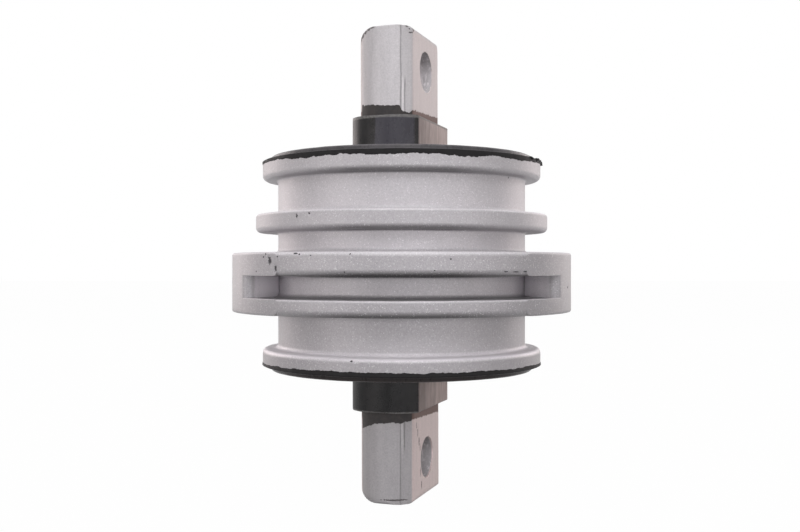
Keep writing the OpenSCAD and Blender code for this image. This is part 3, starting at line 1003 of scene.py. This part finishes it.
def dent(mesh):
    """Presses a shallow dent into the mesh at every chip."""
    place = points_in_mm(mesh)
    radius = np.hypot(place[:, 0], place[:, 1])
    angle = np.arctan2(place[:, 0], -place[:, 1])
    pressed = 0
    for degrees, height, r, half_width, half_height in CHIPS:
        away = (angle - math.radians(degrees) + math.pi) % (2 * math.pi) - math.pi
        far = ((away * r / (half_width * 1.5)) ** 2
               + ((place[:, 2] - height) / (half_height * 1.6)) ** 2
               + ((radius - r) / CHIP_DEPTH) ** 2)
        depth = 0.35 * min(half_width, half_height * 1.5, 0.9) * np.clip(1 - far, 0, 1)
        place[:, :2] *= (1 - depth / np.maximum(radius, 1))[:, None]
        pressed += int((depth > 0).sum())
    mesh.vertices.foreach_set("co", (place * MM).ravel())
    mesh.update()
    return pressed


def mark_pockets(mesh):
    """Stores where the slanted sides of the ears are, so that the finish can paint
    light into the pockets. The mark is 1 deep in the pocket and -0.4 near the
    ear's tip, where it paints shade."""
    x, y, z = points_in_mm(mesh).T
    out = np.hypot(x, y)
    inside = (z < SLOT_TOP + 0.4) & (z > SLOT_LOW - 0.4) & (np.abs(y) > EAR_ROOT_HALF)
    inside &= (out > NECK_R + 0.3) & (out < EAR_R - 0.6)
    inside[:shell_points] = False
    ramp = np.interp(np.abs(x), [56.3, 57.2, 61.0, 62.8], [1.0, 0.0, -0.4, 0.0])
    marks = mesh.attributes.new("pocket", "FLOAT", "POINT")
    marks.data.foreach_set("value", np.where(inside, ramp, 0.0))
    return int(inside.sum())


print("points pressed in:", dent(raw_casting.data))
print("points in the pockets:", mark_pockets(raw_casting.data))
casting = give_skin(raw_casting, "casting_skin", cast_paint, (0.10, 6.0), (0.05, 1.8), 0.3)
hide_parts("casting")
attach(casting, "root")
print("casting skin:", len(casting.data.polygons), "faces")

# %% [markdown]
# ## The rubber body
#
# The rubber fills the bore, covers both end faces of the casting with a thin
# skirt, rises in a round lip and sinks in a dished ring round the sleeve. It is
# turned with the same tree as the casting.

# %% Section of the rubber and the turned body
def dish(top):
    """Corners of one end, from the hidden middle out to the rim, top or bottom."""
    sign = 1 if top else -1
    lip = LIP_TOP if top else LIP_LOW
    skirt = CAST_TOP + SKIRT if top else CAST_LOW - SKIRT
    half = (DISH_OUT - DISH_IN) / 2
    bend = (half ** 2 + DISH_DEPTH ** 2) / (2 * DISH_DEPTH)
    middle = (DISH_OUT + DISH_IN) / 2
    reach = math.asin(half / bend)
    curve = [(middle + bend * math.sin(t), lip + sign * (bend - DISH_DEPTH - bend * math.cos(t)))
             for t in np.linspace(-reach, reach, 11)]
    corners = [(8.0, lip, 0, 0, 1, 8.0), (*curve[0], 0.5, 0.5, 3, 1.5)]
    corners += [(r, z, 0, 0, 1, 0.9) for r, z in curve[1:-1]]
    corners += [(*curve[-1], 0.6, 0.6, 4, 1.0), (LIP_R, lip, 1.0, 1.0, 6, 1.0),
                (LIP_R, skirt, 0.4, 0.4, 3, 0.8), (RIM_R - 0.2, skirt, 0.3, 0.3, 3, 0.6),
                (RIM_R - 0.2, CAST_TOP if top else CAST_LOW, 0, 0, 1, 5.0),
                (BORE_R - 0.2, CAST_TOP if top else CAST_LOW, 0, 0, 1, 60.0)]
    return corners


NO_EARS = 1.0  # metres, which is beyond the rubber
RUBBER_CORNERS = dish(True) + dish(False)[::-1]
raw_rubber = run_tree("raw_rubber", section_object("rubber_section", RUBBER_CORNERS), turning,
                      segments=SEGMENTS, ears_from_x=NO_EARS, finish=rubber_black)
face_outwards(raw_rubber.data)
rubber = give_skin(raw_rubber, "rubber_body", rubber_black, (0.16, 9.0), (0.04, 2.5), 1.7)
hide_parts("rubber")
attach(rubber, "root")
print("rubber body:", len(rubber.data.polygons), "faces")

# %% [markdown]
# ## The sleeve and the bar
#
# Both are flats with rounded sides. A loft in mesh code carries the outline
# from one end to the other. Towards an end the outline is clamped to a smaller
# box, which rounds the end edges with a radius of its own for each side, as on
# the real bar, whose left edges are much rounder than its right ones.

# %% Outline of a flat with rounded sides
def flat_outline(thickness, width, side_r, count, soften=0.8):
    """Evenly spaced points, counter-clockwise, with slightly softened corners."""
    half, centre = thickness / 2, width / 2 - side_r
    meet = math.asin(half / side_r)
    arc = [(side_r * math.sin(t), centre + side_r * math.cos(t))
           for t in np.linspace(meet, -meet, 60)]
    whole = np.array(arc + [(-x, -y) for x, y in arc] + arc[:1])
    run = np.concatenate([[0], np.cumsum(np.linalg.norm(np.diff(whole, axis=0), axis=1))])
    even = np.linspace(0, run[-1], count, endpoint=False)
    points = np.stack([np.interp(even, run, whole[:, k]) for k in (0, 1)], axis=1)
    for _ in range(int(round((soften / (run[-1] / count)) ** 2 * 1.5))):
        points = points * 0.5 + (np.roll(points, 1, 0) + np.roll(points, -1, 0)) * 0.25
    return points


print("flat outlines ready")

# %% Loft of an outline between two ends
CAPS = [0.985, 0.93, 0.82, 0.68, 0.52, 0.36, 0.2, 0.08]  # sizes of the rings on the ends


def turn_with_bar(points):
    """Turns points from the bar's own directions into the mount's."""
    x, y, z = np.asarray(points).T
    cosine, sine = math.cos(BAR_TURN), math.sin(BAR_TURN)
    return np.column_stack([x * cosine - y * sine, x * sine + y * cosine, z])


def loft(name, outline, heights, left_r, right_r, side_r, wrap=0.0, lean=(0.0, 0.0), far_r=0.0):
    """A closed piece of the outline at every height, with rings on both ends. The
    rounding of the left edge wraps round the sides by wrap, the piece leans across
    by lean[0] at the top and lean[1] at the bottom, and far_r rounds the far
    corner of the top."""
    low, high = heights[0], heights[-1]
    width, depth = np.abs(outline[:, 0]).max(), np.abs(outline[:, 1]).max()
    to_left = np.clip(-outline[:, 0] / width, 0, 1)
    rings = []
    for z in heights:
        near = min(z - low, high - z)
        x, y = outline.T
        left_in, side_in = edge_inset(near, left_r), edge_inset(near, side_r)
        squeezed = np.where(x < 0, x * (1 - left_in / width), x)
        clamped = np.maximum(x, -width + left_in)
        x = np.minimum(clamped * (1 - wrap) + squeezed * wrap, width - edge_inset(near, right_r))
        y = np.clip(y, -depth + side_in, depth - side_in)
        y = y * (1 - to_left * wrap * edge_inset(near, side_r + wrap * left_r * 0.7) / depth)
        y = y * np.where(y > 0, 1 - edge_inset(high - z, far_r) / depth, 1.0)
        x = x + lean[1] + (lean[0] - lean[1]) * (z - low) / (high - low)
        rings.append(ring_at(np.column_stack([x, y]), z))
    for base, at_top in ((rings[0], False), (rings[-1], True)):
        centre = np.array([base[:, 0].mean(), base[:, 1].mean(), base[0, 2]])
        extra = [centre + (base - centre) * share for share in CAPS]
        rings = rings + extra if at_top else extra[::-1] + rings
    return put(name, tube(name, [turn_with_bar(ring) for ring in rings]))


def spread(low, high, step, fine_end=None):
    """Heights from low to high at about step, with extra ones in a rounded end."""
    plain = list(np.linspace(low, high, max(2, round((high - low) / step) + 1)))
    if fine_end is not None:
        radius, at_top = fine_end
        extra = [radius * (1 - math.cos(t)) for t in np.linspace(0, math.pi / 2, 9)]
        plain = [z for z in plain if (high - z if at_top else z - low) > radius]
        plain += [high - e if at_top else low + e for e in extra]
    return sorted(plain)


print("lofts ready")

# %% The rubber sleeve round the bar
sleeve_heights = (spread(SLEEVE_LOW, -38, 0.8, (1.0, False)) + spread(-36, 36, 12)
                  + spread(38, SLEEVE_TOP, 0.8, (1.0, True)))
raw_sleeve = loft("raw_sleeve", flat_outline(SLEEVE_T, SLEEVE_W, SLEEVE_SIDE_R, 230),
                  sleeve_heights, 1.0, 1.0, 1.0)
sleeve = give_skin(raw_sleeve, "rubber_sleeve", rubber_black, (0.14, 7.0), (0.03, 2.2), 2.9)
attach(sleeve, "root")
print("sleeve:", len(sleeve.data.polygons), "faces")

# %% [markdown]
# ### The forged bar
#
# The flash of the forging dies leaves a faint ridge along the near rounded
# side, a little right of its middle. It is added to the outline before the
# loft. The cross holes are cut with a dense cutter whose ends flare a little,
# which leaves the small lead-in that a drilled and painted hole has.

# %% The bar with its ridge
RIDGE_X, RIDGE_HALF, RIDGE_HEIGHT, FACET_DEPTH = 7.0, 0.7, 0.22, 0.25
LEFT_R, RIGHT_R, SIDE_R, FAR_R, WRAP = 5.3, 1.8, 1.2, 4.2, 0.45  # the end edges' roundings
LEAN = (-0.6, -0.1)

bar_plan = flat_outline(BAR_T, BAR_W, BAR_SIDE_R, 210)
for side in (-1, 1):
    on_side = bar_plan[:, 1] * side > 15
    x = bar_plan[:, 0] * side
    ridge = np.exp(-((x + RIDGE_X) / RIDGE_HALF) ** 2) * RIDGE_HEIGHT * on_side
    facet = (np.clip((-x - 7.2) / 3.0, 0, 1) * np.clip((11.2 + x) / 1.5, 0, 1)
             * FACET_DEPTH * on_side)
    bar_plan[:, 1] += side * (ridge - facet)
bar_heights = (spread(-BAR_END, -54, 0.75, (LEFT_R, False)) + spread(-52, 52, 13)
               + spread(54, BAR_END, 0.75, (LEFT_R, True)))
raw_bar = loft("raw_bar", bar_plan, bar_heights, LEFT_R, RIGHT_R, SIDE_R, WRAP, LEAN, FAR_R)
print("raw bar:", len(raw_bar.data.polygons), "faces")


# %% The cross holes and the skin
def hole_cutter(z):
    """A dense round cutter across the bar with flared ends."""
    ends = np.array([10.7, 11.0, 11.6, 13.0])
    rings = []
    for x in np.concatenate([-ends[::-1], np.linspace(-9.6, 9.6, 17), ends]):
        r = HOLE_R + min(max(abs(x) - 10.6, 0) * 0.8, 0.15)
        rings.append(turn_with_bar([(x, r * math.cos(t), z + r * math.sin(t))
                                    for t in np.linspace(0, 2 * math.pi, 72, endpoint=False)]))
    return tube("cutter", rings)


cutter = join_meshes("cutter", [hole_cutter(HOLE_Z), hole_cutter(-HOLE_Z)])
cut = raw_bar.modifiers.new("holes", "BOOLEAN")
cut.operation, cut.object, cut.solver = "DIFFERENCE", cutter, "EXACT"
graph = bpy.context.evaluated_depsgraph_get()
drilled = bpy.data.meshes.new_from_object(raw_bar.evaluated_get(graph))
raw_bar.modifiers.clear()
raw_bar.data = drilled
bpy.data.objects.remove(cutter)
bar = give_skin(raw_bar, "bar_skin", bar_paint, (0.09, 8.0), (0.03, 2.0), 4.1)
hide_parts("bar")
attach(bar, "root")
print("bar:", len(bar.data.polygons), "faces")

# %% [markdown]
# ## Ragged rubber at the rims
#
# In the mould, rubber creeps out over the edge of both rims and tears off
# raggedly. It follows the rim's circle, so a Geometry Nodes tree makes it: a
# thin band whose lower edge wanders with noise and thins out onto the metal.
# The band could be painted on in the finish, but it has a real thickness that
# shows at the left and right. Mesh code then closes it behind its face, inside
# the rubber and the metal.

# %% The ragged band tree
ROWS, SUNK = 7, 0.2  # rows of points down the band; how far its edge is sunk, in mm

band, given = start_tree("ragged_band", segments="Int", start="Float", direction="Float",
                         least="Float", most="Float", thickness="Float", seed="Float",
                         finish="Material")
sheet = add(band, "GeometryNodeMeshGrid", {"Size X": 1.0, "Size Y": 1.0,
                                           "Vertices X": given["segments"], "Vertices Y": ROWS})
index = add(band, "GeometryNodeInputIndex").outputs[0]
column = maths(band, "FLOOR", maths(band, "DIVIDE", index, float(ROWS)))
row = maths(band, "DIVIDE", maths(band, "MODULO", index, float(ROWS)), float(ROWS - 1))
turn = times(band, maths(band, "DIVIDE", column, maths(band, "SUBTRACT", given["segments"], 1.0)),
             2 * math.pi)
across, along = maths(band, "COSINE", turn), maths(band, "SINE", turn)
circle = add(band, "ShaderNodeCombineXYZ", {0: across, 1: along, 2: given["seed"]}).outputs[0]
coarse = add(band, "ShaderNodeTexNoise", {"Vector": circle, "Scale": 3.0, "Detail": 2.0}).outputs[0]
torn = add(band, "ShaderNodeTexNoise", {"Vector": circle, "Scale": 16.0, "Detail": 5.0,
                                        "Roughness": 0.75}).outputs[0]
wander = maths(band, "ADD", times(band, coarse, 0.5), times(band, torn, 0.5))
longest = remap(band, wander, 0.36, 0.64, given["least"], given["most"])
sideways = maths(band, "POWER", maths(band, "ABSOLUTE", across), 6.0)
reach = remap(band, sideways, 0.0, 1.0, longest, given["least"])
bulge = maths(band, "SQRT", maths(band, "SUBTRACT", 1.0, maths(band, "POWER", row, 2.0)))
radius = maths(band, "ADD", (RIM_R - SUNK) * MM,
               times(band, bulge, maths(band, "ADD", given["thickness"], SUNK * MM)))
height = maths(band, "ADD", given["start"], times(band, row, reach, given["direction"]))
spot = add(band, "ShaderNodeCombineXYZ", {0: times(band, radius, across),
                                          1: times(band, radius, along), 2: height})
laid = add(band, "GeometryNodeSetPosition", {"Geometry": sheet.outputs[0],
                                             "Position": spot.outputs[0]})
welded = add(band, "GeometryNodeMergeByDistance", {"Geometry": laid.outputs[0],
                                                   "Distance": 0.002 * MM})
end_tree(band, welded.outputs[0], given["finish"])


# %% The bands on both rims
def close_band(mesh, start, inner_r):
    """Closes a band behind its face, with a flat ring inwards at its start height
    and a wall that stays hidden in the rubber and the metal. Both are in metres."""
    work = bmesh.new()
    work.from_mesh(mesh)
    seen_faces = set(work.faces)
    first = [e for e in work.edges if e.is_boundary
             and all(abs(v.co.z - start) < 0.001 * MM for v in e.verts)]
    ring = bmesh.ops.extrude_edge_only(work, edges=first)["geom"]
    for point in (item for item in ring if isinstance(item, bmesh.types.BMVert)):
        point.co.xy *= inner_r / point.co.xy.length
    bmesh.ops.bridge_loops(work, edges=[e for e in work.edges if e.is_boundary])
    for face in work.faces:
        if face not in seen_faces:
            face.smooth = False
    work.to_mesh(mesh)
    work.free()
    face_outwards(mesh)


def ragged_band(name, start, direction, most, seed):
    """One band round a rim, from its end face over its edge."""
    seedling = put("seedling", bpy.data.meshes.new("seedling"))
    piece = run_tree(name, seedling, band, segments=1300, start=start * MM,
                     direction=float(direction), least=1.1 * MM, most=most * MM,
                     thickness=0.13 * MM, seed=seed, finish=rubber_black)
    piece.data.shade_smooth()
    close_band(piece.data, start * MM, (RIM_R - 0.5) * MM)
    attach(piece, "root")
    print(name + ":", len(piece.data.polygons), "faces")


ragged_band("rim_flash_top", CAST_TOP + 0.9, -1, 2.9, 5.0)
ragged_band("rim_flash_bottom", CAST_LOW - 0.9, 1, 2.5, 11.0)

# %% [markdown]
# At the right end of the top rim a thick crumb of rubber is left standing. It is
# a tube along the rim whose thickness comes and goes, closed at both ends.

# %% The crumb of rubber on the top rim
CRUMB_FROM, CRUMB_TO, CRUMB_SIZE = 59.0, 86.0, 1.15  # degrees from the front; mm

rings = []
for share in np.linspace(0, 1, 64):
    turn = math.radians(CRUMB_FROM + (CRUMB_TO - CRUMB_FROM) * share)
    lump = 0.75 + 0.25 * math.sin(23 * share) + 0.16 * math.sin(57 * share + 1)
    thick = CRUMB_SIZE * lump * min(1.0, 9 * share + 0.02, 9 * (1 - share) + 0.02)
    middle_r = RIM_R - 0.5 + 0.35 * math.sin(17 * share + 0.5)
    middle_z = CAST_TOP + 0.75 + 0.3 * math.sin(11 * share + 2)
    t = np.linspace(0, 2 * math.pi, 18, endpoint=False)
    wave = 1 + 0.18 * np.sin(3 * t + 19 * share) + 0.1 * np.sin(5 * t - 31 * share)
    r = middle_r + 1.15 * thick * wave * np.cos(t)
    rings.append(np.column_stack([r * math.sin(turn), -r * math.cos(turn),
                                  middle_z + 0.8 * thick * wave * np.sin(t)]))
crumb = put("raw_crumb", tube("raw_crumb", rings))
crumb = give_skin(crumb, "rim_crumb_right", rubber_black, (0.2, 1.2), (0.1, 0.5), 7.7)
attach(crumb, "root")
print("crumb:", len(crumb.data.polygons), "faces")
